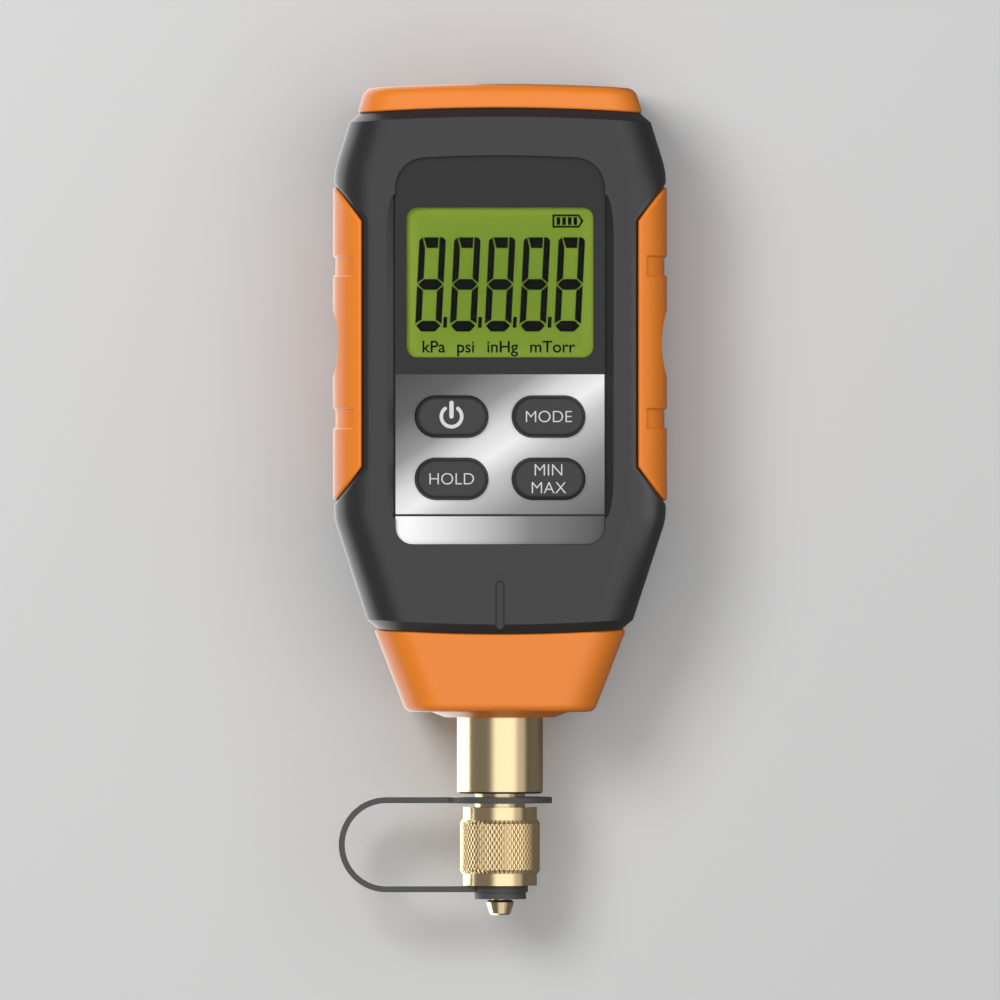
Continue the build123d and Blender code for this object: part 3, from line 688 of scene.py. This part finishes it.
def cap():
    top_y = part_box("cap_shell")[1][1]
    knurl_top_y = top_y - KNURL_TOP_BAND
    knurl_low_y = top_y - CAP_BODY_LENGTH + KNURL_LOW_BAND
    shell = stand_in("cap_shell", "cap_body")
    outside = KNURL_END_RADIUS + SURFACE_MARGIN
    shrink_band(shell, knurl_low_y, knurl_top_y, outside, KNURL_END_RADIUS - SURFACE_MARGIN)
    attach(shell, "cap")

    def radius_at(column, row):
        if row in (0, KNURL_ROWS):
            return KNURL_END_RADIUS
        return KNURL_RADIUS if (column + row) % 2 else KNURL_RADIUS - KNURL_DEPTH

    def place_at(row):
        return knurl_top_y + (knurl_low_y - knurl_top_y) * row / KNURL_ROWS

    def split_at(column, row):
        return (column + row) % 2 == 0

    ring_grid("cap_knurl", 2 * KNURL_TEETH, KNURL_ROWS, radius_at, place_at, split_at, knurled_brass, "cap")


def fitting():
    root_radius = THREAD_RADIUS - THREAD_DEPTH
    body = stand_in("brass_fitting", "fitting_body")
    shrink_band(body, THREAD_LOW_Y, THREAD_TOP_Y, root_radius, root_radius)
    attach(body, "root")
    rows = round((THREAD_TOP_Y - THREAD_LOW_Y) / THREAD_PITCH * THREAD_ROWS_PER_TURN)
    root = root_radius + SURFACE_MARGIN

    def place_at(row):
        return THREAD_TOP_Y + (THREAD_LOW_Y - THREAD_TOP_Y) * row / rows

    def radius_at(column, row):
        y = place_at(row)
        phase = (y / THREAD_PITCH + column / THREAD_COLUMNS) % 1
        height = min(1, THREAD_FLANK * min(phase, 1 - phase)) * THREAD_DEPTH
        from_end = min(THREAD_TOP_Y - y, y - THREAD_LOW_Y)
        return min(root + height, root + from_end + THREAD_START, THREAD_RADIUS)

    def split_at(column, row):
        return True

    brass = materials["brass"]
    ring_grid("fitting_thread", THREAD_COLUMNS, rows, radius_at, place_at, split_at, brass, "root")


# Strap, copied from its CAD node with its place baked in

def strap():
    piece = stand_in("strap", "strap_band")
    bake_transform(piece)


# Stage

def floor():
    points = [(x, y, 0) for x, y in rectangle(FLOOR_SIZE, FLOOR_SIZE)]
    add_object("floor", new_mesh("floor", points, [(0, 1, 2, 3)], floor_material()))


def area_light(name, place, target, size, power):
    data = bpy.data.lights.new(name, "AREA")
    data.shape = "RECTANGLE"
    data.size, data.size_y = size
    data.energy = power
    lamp = add_object(name, data)
    lamp.location = place
    direction = Vector(target) - Vector(place)
    lamp.rotation_euler = direction.to_track_quat("-Z", "Y").to_euler()
    lamp.visible_camera = False
    return lamp


def key_light():
    """A soft light from the upper left, which is not seen in gloss."""
    key = area_light("key", KEY_PLACE, (0, 0, 0), KEY_SIZE, KEY_POWER)
    key.visible_glossy = False


def sheen():
    """A bright card low on the left, which is seen only in gloss."""
    x = SHEEN_EDGE_X - SHEEN_SIZE / 2
    card = area_light("sheen", (x, 0, SHEEN_LIFT), (x, 0, 1), (SHEEN_SIZE, SHEEN_SIZE), SHEEN_POWER)
    card.visible_diffuse = False


def recess_glow():
    """A small card on the right, which is seen only in the gloss of the recess's left side."""
    x, y, z = RECESS_GLOW_PLACE
    card = area_light("recess_glow", (x, y, z), (-x, y, z), RECESS_GLOW_SIZE, RECESS_GLOW_POWER)
    card.visible_diffuse = False
    lit = bpy.data.collections.new("lit_by_recess_glow")
    lit.objects.link(frame["nodes"]["front_shell"])
    card.light_linking.receiver_collection = lit


def studio_world():
    """Long soft panels: bright above and a little right, dim to both sides and at both ends."""
    world = bpy.data.worlds.new("studio")
    world.use_nodes = True
    tree = world.node_tree
    way = tree.nodes.new("ShaderNodeTexCoord").outputs["Generated"]
    x, y, z = separate(tree, way)
    lean = math_node(tree, "ARCTAN2", x, z)
    stops = [(0.5 + angle / 180, level) for angle, level in STUDIO_PANELS]
    panels = color_ramp(tree, centred(tree, lean, pi), stops)
    ends = color_ramp(tree, math_node(tree, "ABSOLUTE", y), PANEL_ENDS)
    studio = mix_colors(tree, 1.0, panels, ends, "MULTIPLY")
    backdrop = tree.nodes.new("ShaderNodeLightPath").outputs["Is Camera Ray"]
    background = tree.nodes["Background"]
    tree.links.new(mix_colors(tree, backdrop, studio, grey(BACKDROP_LEVEL)), background.inputs["Color"])
    background.inputs["Strength"].default_value = STUDIO_STRENGTH
    bpy.context.scene.world = world


def camera():
    data = bpy.data.cameras.new("camera")
    data.sensor_width = SENSOR_WIDTH
    data.lens = SENSOR_WIDTH * (CAMERA_HEIGHT - axis_z) / VIEW_WIDTH
    viewer = add_object("camera", data)
    viewer.location = (0, 0, CAMERA_HEIGHT)
    bpy.context.scene.camera = viewer


marks_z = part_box("lcd_panel")[1][2] + MARK_LIFT
display_segments(marks_z)
unit_names(marks_z)
key_words()
power_mark()
recess_cheeks()
cap()
fitting()
strap()
key_mat()
floor()
key_light()
sheen()
recess_glow()
studio_world()
camera()
bpy.context.scene.view_settings.view_transform = "Standard"
